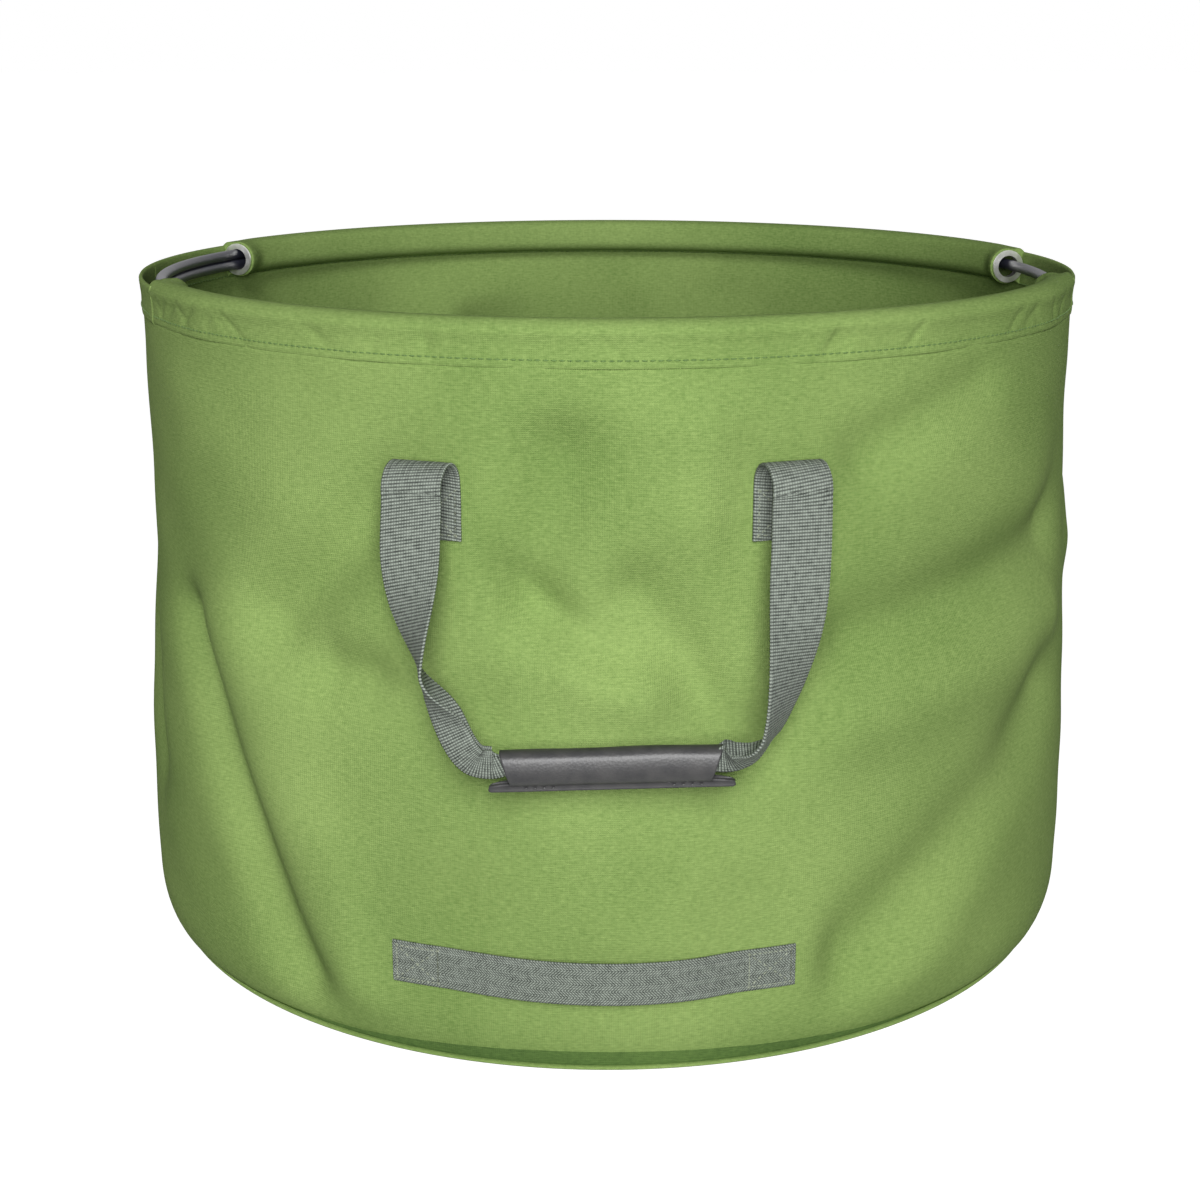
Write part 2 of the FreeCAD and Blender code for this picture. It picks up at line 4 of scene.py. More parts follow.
import bmesh
import bpy
import numpy as np
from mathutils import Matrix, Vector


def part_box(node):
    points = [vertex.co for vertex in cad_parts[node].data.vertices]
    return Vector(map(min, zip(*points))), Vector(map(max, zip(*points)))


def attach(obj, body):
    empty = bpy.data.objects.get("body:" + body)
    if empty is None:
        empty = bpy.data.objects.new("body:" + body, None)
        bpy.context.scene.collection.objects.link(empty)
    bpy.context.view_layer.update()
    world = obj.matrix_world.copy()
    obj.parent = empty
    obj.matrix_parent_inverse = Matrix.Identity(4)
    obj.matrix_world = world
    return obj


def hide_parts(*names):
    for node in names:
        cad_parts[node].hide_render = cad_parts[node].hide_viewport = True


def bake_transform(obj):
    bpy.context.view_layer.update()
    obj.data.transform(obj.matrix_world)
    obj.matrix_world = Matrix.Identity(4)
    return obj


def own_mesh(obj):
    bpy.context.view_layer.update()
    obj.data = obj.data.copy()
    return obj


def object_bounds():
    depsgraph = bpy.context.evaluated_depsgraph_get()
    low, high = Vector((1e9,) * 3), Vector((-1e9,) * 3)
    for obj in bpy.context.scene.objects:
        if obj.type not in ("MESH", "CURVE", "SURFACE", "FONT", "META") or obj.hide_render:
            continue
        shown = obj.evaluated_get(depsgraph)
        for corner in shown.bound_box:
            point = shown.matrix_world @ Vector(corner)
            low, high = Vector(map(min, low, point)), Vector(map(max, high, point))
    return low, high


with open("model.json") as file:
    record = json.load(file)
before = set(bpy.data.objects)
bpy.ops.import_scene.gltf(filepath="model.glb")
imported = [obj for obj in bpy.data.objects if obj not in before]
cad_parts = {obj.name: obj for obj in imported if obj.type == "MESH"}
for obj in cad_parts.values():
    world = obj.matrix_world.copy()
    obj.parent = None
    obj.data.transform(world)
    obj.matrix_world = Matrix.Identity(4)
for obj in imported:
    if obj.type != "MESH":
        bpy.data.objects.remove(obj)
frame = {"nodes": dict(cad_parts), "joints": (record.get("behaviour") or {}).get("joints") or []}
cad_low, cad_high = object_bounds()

MM = 0.001
JOINTS = {joint["name"]: joint for joint in frame["joints"]}


# ---------------------------------------------------------------- places read from the frame
def corners(node):
    """Lowest and highest corner of a CAD node, as arrays."""
    low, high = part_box(node)
    return np.array(low), np.array(high)


def middle(node):
    """Centre of a CAD node's box."""
    low, high = corners(node)
    return (low + high) / 2


def angle_of(point):
    """Angle round the bag, nought at the front and growing to the right."""
    return math.atan2(point[0], -point[1])


PANEL_LOW, PANEL_HIGH = corners("front_panel")
HEM_LOW, HEM_HIGH = corners("front_hem")
WALL_RADIUS = PANEL_HIGH[0]
WALL_LOW, WALL_TOP = PANEL_LOW[2], PANEL_HIGH[2]
HEM_BOTTOM, RIM_TOP = HEM_LOW[2], HEM_HIGH[2]
RIM_RADIUS = cad_high[0]
HINGE = {end: np.array(JOINTS[end + "_handle_swing"]["pos_m"]) for end in ("front", "rear")}
HINGE_HEIGHT = HINGE["front"][2]

UP = np.array([0.0, 0.0, 1.0])

CANVAS = 1.2 * MM
WEBBING_HALF = 12.5 * MM
WEBBING_THICK = 0.62 * MM
CRUSHED_HALF = 7.2 * MM
RIB_PITCH = 1.3 * MM
RIB_HEIGHT = 0.22 * MM
RIB_STEP = RIB_PITCH / 4
ACROSS = 41
SELVEDGE_FROM, SELVEDGE_BEAD = 0.93, 0.12 * MM


# ---------------------------------------------------------------- shapes
def unit(vectors):
    """Each vector at length one."""
    return vectors / np.linalg.norm(vectors, axis=-1, keepdims=True)


def ease(x):
    """Smooth step from nought to one."""
    x = np.clip(x, 0, 1)
    return x * x * (3 - 2 * x)


def smooth_line(points, count, closed=False):
    """Catmull-Rom curve through the points, taken again at even lengths along it."""
    points = np.asarray(points, float)
    total = len(points)
    spans = total if closed else total - 1
    t = np.linspace(0, spans, 40 * spans + 1)
    i = np.minimum(t.astype(int), spans - 1)
    f = (t - i)[:, None]
    near = [(i + d) % total if closed else np.clip(i + d, 0, total - 1) for d in (-1, 0, 1, 2)]
    a, b, c, d = (points[k] for k in near)
    line = 0.5 * (2 * b + (c - a) * f + (2 * a - 5 * b + 4 * c - d) * f**2 + (3 * b - a - 3 * c + d) * f**3)
    length = np.concatenate(([0], np.cumsum(np.linalg.norm(np.diff(line, axis=0), axis=1))))
    even = np.linspace(0, length[-1], count + 1 if closed else count)
    out = np.stack([np.interp(even, length, line[:, k]) for k in range(line.shape[1])], -1)
    return out[:-1] if closed else out


def round_bag(angle, radius, height):
    """Point at an angle round the bag: x is radius times sine, y is minus radius times cosine."""
    angle, radius, height = np.broadcast_arrays(angle, radius, height)
    return np.stack([radius * np.sin(angle), -radius * np.cos(angle), height], -1)


def outward(angle):
    """Away from the bag's axis."""
    return np.array([math.sin(angle), -math.cos(angle), 0.0])


def rightward(angle):
    """Along the wall, towards growing angle."""
    return np.array([math.cos(angle), math.sin(angle), 0.0])


def grid(points, uv, closed=False, capped=False):
    """Quads between the rows and columns of a grid of points.

    closed joins the last column to the first, and capped fills both end rows.
    """
    rows, columns = points.shape[:2]
    i, j = np.meshgrid(np.arange(rows - 1), np.arange(columns if closed else columns - 1), indexing="ij")
    k = (j + 1) % columns
    here, below = i * columns, (i + 1) * columns
    quads = np.stack([here + j, below + j, below + k, here + k], -1).reshape(-1, 4)
    if closed:
        uv = np.concatenate([uv, uv[:, -1:] + (uv[:, -1:] - uv[:, -2:-1])], 1)
    corner_uv = np.stack([uv[i, j], uv[i + 1, j], uv[i + 1, j + 1], uv[i, j + 1]], 2).reshape(-1, 2)
    faces = quads.tolist()
    if capped:
        first = np.arange(columns)
        faces += [first.tolist(), ((rows - 1) * columns + first[::-1]).tolist()]
        corner_uv = np.concatenate([corner_uv, uv[0, :columns], uv[-1, :columns][::-1]])
    return points.reshape(-1, 3), faces, corner_uv


def piece(name, parts, material, replaces=(), thick=0.0):
    """One mesh object from the grids; thick gives the cloth its thickness, inward."""
    points, faces, uvs, start = [], [], [], 0
    for part_points, part_faces, part_uv in parts:
        points.append(part_points)
        faces += [[start + v for v in face] for face in part_faces]
        uvs.append(part_uv)
        start += len(part_points)
    mesh = bpy.data.meshes.new(name)
    mesh.from_pydata(np.concatenate(points).tolist(), [], faces)
    mesh.uv_layers.new(name="cloth").data.foreach_set("uv", np.concatenate(uvs).astype(np.float32).ravel())
    mesh.shade_smooth()
    mesh.materials.append(material)
    made = bpy.data.objects.new(name, mesh)
    bpy.context.scene.collection.objects.link(made)
    if thick:
        layer = made.modifiers.new("cloth_thickness", "SOLIDIFY")
        layer.thickness = thick
        layer.offset = -1
    if replaces:
        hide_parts(*replaces)
    return made


def ride_wall(made):
    """Hangs a wall piece on the base body and gives it its own copy of its mesh."""
    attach(made, "base")
    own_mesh(made)


def ride_handle(made, end):
    """Hangs a piece on its handle's body and gives it its own copy of its mesh."""
    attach(made, end + "_handle")
    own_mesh(made)


# ---------------------------------------------------------------- finishes
def srgb(red, green, blue):
    """Linear colour of a screen colour from 0 to 255."""
    parts = [c / 255 for c in (red, green, blue)]
    return tuple(c / 12.92 if c <= 0.04045 else ((c + 0.055) / 1.055) ** 2.4 for c in parts) + (1.0,)


class Finish:
    """A material being made: each call adds a node and gives back its output."""

    def __init__(self, name, **values):
        self.material = bpy.data.materials.new(name)
        self.material.use_nodes = True
        self.tree = self.material.node_tree
        self.shader = self.tree.nodes["Principled BSDF"]
        for socket, value in values.items():
            self.shader.inputs[socket.replace("_", " ")].default_value = value

    def put(self, kind, inputs, out=0, **settings):
        node = self.tree.nodes.new(kind)
        for key, value in settings.items():
            setattr(node, key, value)
        for key, value in inputs.items():
            if isinstance(value, bpy.types.NodeSocket):
                self.tree.links.new(value, node.inputs[key])
            else:
                node.inputs[key].default_value = value
        return node.outputs[out]

    def math(self, operation, *values):
        return self.put("ShaderNodeMath", dict(enumerate(values)), operation=operation)

    def where(self):
        return self.put("ShaderNodeTexCoord", {}, out="Object")

    def cloth(self):
        """The piece's own flat coordinates: across, along, and both together."""
        flat = self.put("ShaderNodeUVMap", {}, uv_map="cloth")
        parts = self.put("ShaderNodeSeparateXYZ", {0: flat}).node
        return parts.outputs[0], parts.outputs[1], flat

    def noise(self, where, scale, detail=3.0, stretch=(1, 1, 1)):
        spot = self.put("ShaderNodeMapping", {"Vector": where, "Scale": stretch})
        return self.put("ShaderNodeTexNoise", {"Vector": spot, "Scale": scale, "Detail": detail})

    def stripes(self, value, pitch):
        """Nought to one and back once in each pitch."""
        turn = self.math("SINE", self.math("MULTIPLY", value, 2 * math.pi / pitch))
        return self.math("MULTIPLY_ADD", turn, 0.5, 0.5)

    def mix(self, share, low, high):
        return self.put("ShaderNodeMix", {0: share, 6: low, 7: high}, out=2, data_type="RGBA")

    def contrast(self, value, low, high):
        return self.put("ShaderNodeMapRange", {0: value, 1: low, 2: high})

    def end(self, colour, height=None, distance=0.0001, strength=1.0):
        self.tree.links.new(colour, self.shader.inputs["Base Color"])
        if height is not None:
            bump = self.put("ShaderNodeBump", {"Height": height, "Distance": distance, "Strength": strength})
            self.tree.links.new(bump, self.shader.inputs["Normal"])
        return self.material


def canvas_finish(name, dark, light):
    """Plain woven canvas: threads both ways, thick spots along the weft, and a cloudy dye."""
    make = Finish(name, Roughness=0.92, Sheen_Weight=0.0, Specular_IOR_Level=0.06)
    across, along, flat = make.cloth()
    weave = make.math("MULTIPLY", make.stripes(across, 0.95 * MM), make.stripes(along, 0.85 * MM))
    slub = make.noise(flat, 1.0, 2.0, (260, 1250, 1))
    warp = make.noise(flat, 1.0, 2.0, (1300, 110, 1))
    cloud = make.noise(make.where(), 9.0, 6.0)
    speck = make.noise(make.where(), 700.0, 2.0)
    tone = make.math("ADD", make.math("MULTIPLY", cloud, 0.42), make.math("MULTIPLY", slub, 0.34))
    tone = make.math("ADD", tone, make.math("MULTIPLY", speck, 0.24))
    colour = make.mix(make.contrast(tone, 0.36, 0.64), dark, light)
    uneven = make.math("ADD", make.math("MULTIPLY", slub, 0.7), make.math("MULTIPLY", warp, 0.5))
    threads = make.math("ADD", weave, uneven)
    return make.end(colour, threads, 0.00016, 0.8)


def webbing_finish(name, chevron):
    """Coarse grey-green webbing, threads in columns; chevron leans the ribs both ways. Colour follows the rib height:
    painted highlight on the rib tops, painted shade in the gaps between them.
    """
    make = Finish(name, Roughness=0.66, Specular_IOR_Level=0.25)
    across, along, _ = make.cloth()
    lean = make.math("PINGPONG", across, 3.1 * MM) if chevron else make.math("MULTIPLY", across, 0.12)
    rib = make.stripes(make.math("ADD", along, lean), RIB_PITCH)
    column = make.stripes(across, 1.1 * MM)
    height = make.math("MULTIPLY", rib, make.math("MULTIPLY_ADD", column, 0.6, 0.4))
    wear = make.noise(make.where(), 420.0, 3.0)
    # tone mixes random wear with the rib height, so the gaps get painted shade and the rib tops painted highlight; the
    # dark colour below is that painted shade
    tone = make.math("MULTIPLY_ADD", wear, 0.5, make.math("MULTIPLY", height, 0.75))
    colour = make.mix(make.contrast(tone, 0.16, 0.92), srgb(34, 39, 35), srgb(142, 150, 140))
    return make.end(colour, height, 0.00025, 0.9)


def leather_finish():
    """Black leather: pebbled grain, a few pores, a soft shine."""
    make = Finish("grip_leather_grain", Roughness=0.46, Specular_IOR_Level=0.5)
    pebble = make.put("ShaderNodeTexVoronoi", {"Vector": make.where(), "Scale": 900.0})
    tone = make.noise(make.where(), 160.0, 4.0)
    colour = make.mix(make.contrast(tone, 0.3, 0.7), srgb(30, 30, 32), srgb(52, 51, 51))
    return make.end(colour, pebble, 0.00009, 0.6)


def plain_finish(name, dark, light, scale, height=0.00003, **values):
    """One colour, lightly clouded and roughened at the given scale."""
    make = Finish(name, **values)
    tone = make.noise(make.where(), scale, 4.0)
    return make.end(make.mix(make.contrast(tone, 0.3, 0.7), dark, light), tone, height, 0.5)


canvas = canvas_finish("canvas_green", srgb(100, 124, 66), srgb(132, 154, 90))
tape = canvas_finish("binding_tape_green", srgb(62, 84, 42), srgb(84, 108, 56))
webbing = webbing_finish("webbing_ribbed", False)
chevron_webbing = webbing_finish("webbing_chevron", True)
leather = leather_finish()
hem_thread = plain_finish("hem_thread", srgb(70, 96, 44), srgb(96, 124, 62), 1500, Roughness=0.7)
tack_thread = plain_finish("tack_thread", srgb(96, 104, 88), srgb(150, 156, 138), 1500, Roughness=0.6)
grip_thread = plain_finish("grip_thread", srgb(30, 30, 31), srgb(78, 78, 78), 1500, Roughness=0.5)
nickel = plain_finish("eyelet_nickel", srgb(214, 214, 210), srgb(238, 238, 234), 300, Metallic=0.9, Roughness=0.34)
rod_black = plain_finish("hoop_rod_black", srgb(22, 23, 32), srgb(34, 35, 46), 200, Roughness=0.42)


# ---------------------------------------------------------------- the wall and its folds
# each fold: start angle and height, end angle and height, half width, depth (out is plus); degrees and millimetres
FRONT_FOLDS = (
    (-56, 172, -36, 22, 15, -5.0), (-46, 178, -27, 30, 26, 4.5), (-52, 252, -40, 232, 46, 3.0),
    (-38, 188, -23, 246, 18, -5.5), (-31, 168, -15, 166, 15, -4.5), (-5, 262, -8, 206, 20, -5.0),
    (-15, 224, 0, 184, 11, -3.5), (3, 206, 15, 148, 17, -5.5), (-3, 180, 4, 168, 13, 4.0),
    (9, 300, 10, 246, 22, 4.5), (38, 256, 54, 238, 38, 5.0), (63, 208, 24, 182, 20, -4.5),
    (62, 168, 27, 150, 22, 4.5), (62, 130, 28, 42, 23, -4.5), (43, 290, 28, 262, 15, -3.0),
    (50, 92, 36, 30, 26, 3.5), (-4, 110, 6, 84, 44, 3.0), (-80, 220, -72, 90, 20, -3.5),
)
REAR_FOLDS = tuple(
    (a, z, a + lean, z - fall, width, depth)
    for a, z, lean, fall, width, depth in np.random.default_rng(5).uniform(
        (100, 120, -18, 30, 13, -5), (255, 285, 18, 100, 30, 5), (16, 6)
    )
)
FOLDS = FRONT_FOLDS + REAR_FOLDS
CORNER_HEIGHT, CORNER_IN = 26 * MM, 9 * MM
BELLY, BELLY_TOP, BELLY_FALL, FRONT_BELLY = 9 * MM, 0.27, 0.20, 0.12
BASE_FADE, HEM_FADE = 30 * MM, 28 * MM
HOLLOW_GAIN, RIDGE_GAIN = 2.0, 1.25
CALM_HALF = 26 * MM
# where a sewn patch keeps the cloth smooth, as far down as the patch reaches over it when the rim is down:
# angle, middle height, half height, and whether the belly is held in there too
CALM = [
    (angle_of(middle(f"{end}_{side}_patch")), 0.212, 60 * MM, True)
    for end in ("front", "rear") for side in ("left", "right")
]
CALM += [(angle_of(middle(f"lower_{side}_patch")), 0.053, 38 * MM, False) for side in ("left", "right")]


def round_gap(angle, start):
    """Arc length from one angle to another, the short way round."""
    return ((angle - start + math.pi) % (2 * math.pi) - math.pi) * WALL_RADIUS


def wall_radius(angle, height):
    """The wall's distance from the bag's axis.

    A cylinder with a low belly, plus a soft ridge or hollow round each fold's line, faded out at the base and the
    hem, less a rounded lower corner. Each fold adds its gain times its depth times e to the minus square of the
    distance from its line over its half width.
    """
    angle, height = np.broadcast_arrays(np.asarray(angle, float), np.asarray(height, float))
    swell = np.zeros(angle.shape)
    for start_angle, start_height, end_angle, end_height, width, depth in FOLDS:
        run = math.radians(end_angle - start_angle) * WALL_RADIUS
        rise = (end_height - start_height) * MM
        s, z = round_gap(angle, math.radians(start_angle)), height - start_height * MM
        t = np.clip((s * run + z * rise) / (run * run + rise * rise), 0, 1)
        gap = (s - t * run) ** 2 + (z - t * rise) ** 2
        gain = HOLLOW_GAIN if depth < 0 else RIDGE_GAIN
        swell += gain * depth * MM * np.exp(-gap / (width * MM) ** 2)
    small = 0.35 * MM * np.sin(11 * angle + 46 * height) * np.sin(90 * height + 5 * angle)
    fade = ease((height - WALL_LOW) / BASE_FADE) * ease((WALL_TOP - height) / HEM_FADE)
    held_in = np.ones(angle.shape)
    for spot, level, tall, holds in CALM:
        calm = 1 - np.exp(-((round_gap(angle, spot) / CALM_HALF) ** 4 + ((height - level) / tall) ** 4))
        fade = fade * calm
        if holds:
            held_in = held_in * calm
    low = np.clip((CORNER_HEIGHT - height) / CORNER_HEIGHT, 0, 1)
    round_about = FRONT_BELLY + (1 - FRONT_BELLY) * np.sin(angle) ** 2
    belly = BELLY * ease((BELLY_TOP - height) / BELLY_FALL) * round_about * held_in
    return WALL_RADIUS + belly + (swell + small) * fade - CORNER_IN * (1 - np.sqrt(1 - 0.98 * low**2))


for end, start_angle in (("front", -90), ("rear", 90)):
    angle = np.radians(np.linspace(start_angle, start_angle + 180, 300))[:, None]
    height = np.linspace(WALL_LOW, WALL_TOP, 120)[None, :]
    uv = np.stack(np.broadcast_arrays(angle * WALL_RADIUS, height), -1)
    wall = piece(end + "_wall", [grid(round_bag(angle, wall_radius(angle, height), height), uv)],
                 canvas, [end + "_panel"], CANVAS)
    ride_wall(wall)


# ---------------------------------------------------------------- base and the bound seams inside
def turned_ring(name, profile, material, replaces, count=240, closed=True):
    """A profile of radius and height carried once round the bag."""
    angle = np.linspace(0, 2 * math.pi, count + 1)[:, None]
    radius, height = profile[None, :, 0], profile[None, :, 1]
    points = round_bag(angle, radius, height)
    length = np.concatenate(([0], np.cumsum(np.linalg.norm(np.diff(profile, axis=0), axis=1))))
    uv = np.stack(np.broadcast_arrays(angle * radius.max(), length[None, :]), -1)
    around = np.concatenate([points[:-1], points[:1]])
    made = piece(name, [grid(around, uv, closed)], material, replaces)
    merge(made)
    return made


def merge(made):
    """Joins the doubled points where a swept shape meets itself."""
    work = bmesh.new()
    work.from_mesh(made.data)
    bmesh.ops.remove_doubles(work, verts=work.verts, dist=0.00001)
    work.to_mesh(made.data)
    work.free()


base_profile = np.array([
    (0.0, 0.2), (120, 0.1), (214, 0.0), (221.5, 0.0), (224.2, 0.4),
    (224.4, 1.0), (222.5, 1.3), (214, 1.2), (120, 1.4), (0.0, 1.5),
]) * MM
base_cloth = turned_ring("base_cloth", base_profile, canvas, ["base_panel"], closed=False)
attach(base_cloth, "base")

bind_low, bind_high = corners("base_seam_binding")
inner, outer = bind_high[0] - 2.4 * MM, bind_high[0]
base_tape = turned_ring("base_tape", smooth_line([
    (outer, bind_low[2]), (outer, bind_high[2] - 1 * MM), (outer - 1.2 * MM, bind_high[2]),
    (inner, bind_high[2] - 1 * MM), (inner, bind_low[2]),
], 20, True), tape, ["base_seam_binding"])
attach(base_tape, "base")

for side, sign in (("left", -1), ("right", 1)):
    node = side + "_seam_binding"
    low, high = corners(node)
    reach = max(abs(low[0]), abs(high[0]))
    depth = high[0] - low[0]
    outline = smooth_line([(0, -1.2), (-0.85, -1.2), (-1, 0), (-0.85, 1.2), (0, 1.2)], 22, True)
    height = np.linspace(low[2], high[2], 160)
    sway = wall_radius(sign * math.pi / 2, height) - WALL_RADIUS
    x = sign * (reach + sway[:, None] + outline[None, :, 0] * depth)
    y = np.broadcast_to(sign * outline[None, :, 1] * MM, x.shape)
    points = np.stack([x, y, np.broadcast_to(height[:, None], x.shape)], -1)[:, ::-1]
    uv = np.stack(np.broadcast_arrays(height[:, None], np.linspace(0, 16 * MM, len(outline))[None, :]), -1)
    made = piece(side + "_seam_tape", [grid(points, uv, True, True)], tape, [node])
    ride_wall(made)


# ---------------------------------------------------------------- rolled hem with its casing
# radius and height round the roll, and round the flat hem across a window, in millimetres
CASING = np.array([
    (223.8, 300.9), (223.8, 305.6), (224.0, 310.5), (224.8, 315.8), (221.4, 319.5), (216.2, 319.8),
    (212.2, 317.6), (211.0, 312.0), (211.3, 306.6), (214.6, 303.2), (220.6, 302.0), (222.0, 300.8),
]) * MM
BAND = np.array([
    (224.1, 300.9), (224.2, 309), (224.8, 316.4), (223.8, 317.4), (222.8, 316.4), (222.6, 309), (221.9, 300.9),
]) * MM
MOUTH_RADIUS, HOLE_RADIUS = 9.0 * MM, 6.2 * MM
MOUTH_LENGTH, MOUTH_BELOW, MOUTH_RINGS = math.radians(5.5), 1.4 * MM, 5
CREASE_HEIGHT, CREASE_TALL = 309 * MM, 6 * MM
ROLL_OUTSIDE, ROLL_FADE = 220.5 * MM, 3 * MM
CREASES = np.random.default_rng(11).uniform((-1.15, -1.4, 2.0, 0.4), (1.2, 1.4, 4.5, 1.1), (22, 4))


def casing_ripple(angle, height):
    """The roll's slow waver, and short leaning creases in the valley under it."""
    waver = 0.28 * MM * (np.sin(13 * angle + 0.7) + 0.6 * np.sin(29 * angle + 2.1))
    turned = (angle + math.pi / 2) % math.pi - math.pi / 2
    for spot, lean, width, deep in CREASES:
        across = (turned - spot) * RIM_RADIUS + lean * (height - CREASE_HEIGHT)
        upright = np.exp(-((height - CREASE_HEIGHT) / CREASE_TALL) ** 2)
        waver = waver - deep * MM * np.exp(-(across / (width * MM)) ** 2) * upright
    return waver


def casing(start_eyelet, end_eyelet):
    """Sweeps the roll from one eyelet to the next.

    Near each it opens to a round mouth, closed but for the eyelet's hole.
    """
    ends = []
    for name in (start_eyelet, end_eyelet):
        seat = (middle("eyelet_" + name) + middle("washer_" + name)) / 2
        ends.append((angle_of(seat) % (2 * math.pi), math.hypot(seat[0], seat[1]), middle("eyelet_" + name)[2]))
    first, last = ends[0][0], ends[1][0]
    if first > last:
        first -= 2 * math.pi
    profile = smooth_line(CASING, 56, True)
    angle = np.linspace(first, last, 420)[:, None]
    radius, height = profile[None, :, 0], profile[None, :, 1]
    radius = radius + casing_ripple(angle, height) * ease((radius - ROLL_OUTSIDE) / ROLL_FADE)
    height = np.broadcast_to(height, radius.shape)
    rows = []
    for place, (_, seat_radius, seat_height) in ((first, ends[0]), (last, ends[1])):
        away = np.stack([profile[:, 0] - seat_radius, profile[:, 1] - seat_height], -1)
        way = unit(away)
        mouth = np.array([seat_radius, seat_height]) + MOUTH_RADIUS * way
        mouth_height = np.clip(mouth[:, 1], HEM_BOTTOM - MOUTH_BELOW, RIM_TOP)
        mouth = np.stack([np.minimum(mouth[:, 0], RIM_RADIUS), mouth_height], -1)
        keep = ease((profile[:, :1] - seat_radius - 3 * MM) / (4.5 * MM))
        mouth = mouth + (profile - mouth) * keep
        share = ease(1 - np.abs(angle - place) / MOUTH_LENGTH)
        radius = radius + (mouth[None, :, 0] - radius) * share
        height = height + (mouth[None, :, 1] - height) * share
        hole = np.array([seat_radius, seat_height]) + HOLE_RADIUS * way
        steps = np.linspace(0, 1, MOUTH_RINGS + 1)[:-1, None, None]
        rows.append(round_bag(place, *np.moveaxis(hole + (mouth - hole) * steps, -1, 0)))
    sweep = round_bag(angle, radius, height)
    points = np.concatenate([rows[0], sweep, rows[1][::-1]])
    length = np.linspace(0, 58 * MM, profile.shape[0])
    along = np.concatenate([np.full(MOUTH_RINGS, first), angle[:, 0], np.full(MOUTH_RINGS, last)]) * RIM_RADIUS
    uv = np.stack(np.broadcast_arrays(along[:, None], length[None, :]), -1)
    return grid(points, uv, True), first, last


def band(first, last):
    """Flat doubled hem across a window, where the rod runs free."""
    profile = smooth_line(BAND, 36, True)
    angle = np.linspace(first, last, 60)[:, None]
    points = round_bag(angle, profile[None, :, 0], profile[None, :, 1])
    uv = np.stack(np.broadcast_arrays(angle * RIM_RADIUS, np.linspace(0, 40 * MM, len(profile))[None, :]), -1)
    return grid(points, uv, True, True)


WINDOW_TUCK = math.radians(1.4)
HEMS = {}
for end, names, sides in (
    ("front", ("front_left", "front_right"), (-math.pi / 2, math.pi / 2)),
    ("rear", ("rear_right", "rear_left"), (math.pi / 2, 3 * math.pi / 2)),
):
    roll, first, last = casing(*names)
    HEMS[end] = (first, last)
    made = piece(end + "_hem_roll", [roll, band(sides[0], first + WINDOW_TUCK), band(last - WINDOW_TUCK, sides[1])],
                 canvas, [end + "_hem"])
    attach(made, "rim")


# ---------------------------------------------------------------- stitches
def stitches(name, centres, along, out, length, width, material, replaces=()):
    """Each stitch is a small rounded bead: four rings of six points round its length, closed at both ends."""
    x = np.cos(np.linspace(0.35, math.pi - 0.35, 4))[::-1]
    turn = np.linspace(0, 2 * math.pi, 7)[:-1]
    ring = np.sqrt(1 - x**2)
    shape = np.stack([
        np.repeat(x, 6) * length / 2,
        (ring[:, None] * np.cos(turn)).ravel() * width / 2,
        (ring[:, None] * np.sin(turn)).ravel() * width / 2,
    ], -1)
    along, out = unit(along), unit(out)
    across = np.cross(out, along)
    axes = np.stack([along, across, out], 1)
    points = centres[:, None, :] + np.einsum("kc,ncd->nkd", shape, axes)
    i, j = np.meshgrid(np.arange(3), np.arange(6), indexing="ij")
    k = (j + 1) % 6
    quads = np.stack([i * 6 + j, i * 6 + k, (i + 1) * 6 + k, (i + 1) * 6 + j], -1).reshape(-1, 4)[:, ::-1]
    starts = np.arange(len(centres)) * 24
    faces = (starts[:, None, None] + quads).reshape(-1, 4).tolist()
    faces += (starts[:, None] + np.arange(6)).tolist() + (starts[:, None] + np.arange(23, 17, -1)).tolist()
    uv = np.zeros((sum(map(len, faces)), 2))
    return piece(name, [(points.reshape(-1, 3), faces, uv)], material, replaces)


def crossed_box(left, right, bottom, top, count_of):
    """Stitches round a box and along its diagonals: across, up, and the two parts of each one's direction.

    count_of gives the number of stitches on a leg from the leg's length.
    """
    route = [(left, bottom), (right, bottom), (right, top), (left, top), (left, bottom), (right, top), (right, bottom),
             (left, top)]
    legs = []
    for (x0, z0), (x1, z1) in zip(route, route[1:]):
        count = count_of(math.hypot(x1 - x0, z1 - z0))
        legs.append(np.stack([np.linspace(x0, x1, count), np.linspace(z0, z1, count),
                              np.full(count, x1 - x0), np.full(count, z1 - z0)], -1))
    return np.concatenate(legs)


TACK_PITCH, LOW_TACKS = 2.3 * MM, 9
STITCH_PITCH = 3.2 * MM
# the stitch line's height and radius: outside on the roll, outside on the windows' bands, and inside
OUTER_ROW, ROLL_SURFACE, BAND_SURFACE = 304.2 * MM, 223.9 * MM, 224.2 * MM
INNER_ROW, INNER_SURFACE = 301.4 * MM, 221.6 * MM
for end, (first, last) in (("front", (-math.pi / 2, math.pi / 2)), ("rear", (math.pi / 2, 3 * math.pi / 2))):
    angle = np.arange(first, last, STITCH_PITCH / RIM_RADIUS)
    outside = np.where((angle > HEMS[end][0]) & (angle < HEMS[end][1]),
                       ROLL_SURFACE + casing_ripple(angle, np.full(angle.shape, OUTER_ROW)),
                       BAND_SURFACE)
    tangent = np.stack([np.cos(angle), np.sin(angle), np.zeros(len(angle))], -1)
    radial = np.stack([np.sin(angle), -np.cos(angle), np.zeros(len(angle))], -1)
    outer_row = round_bag(angle, outside + 0.1 * MM, OUTER_ROW)
    inner_row = round_bag(angle, INNER_SURFACE, INNER_ROW)
    made = stitches(end + "_hem_stitches", np.concatenate([outer_row, inner_row]), np.concatenate([tangent, tangent]),
                    np.concatenate([radial, -radial]), 2.5 * MM, 0.75 * MM, hem_thread)
    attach(made, "rim")


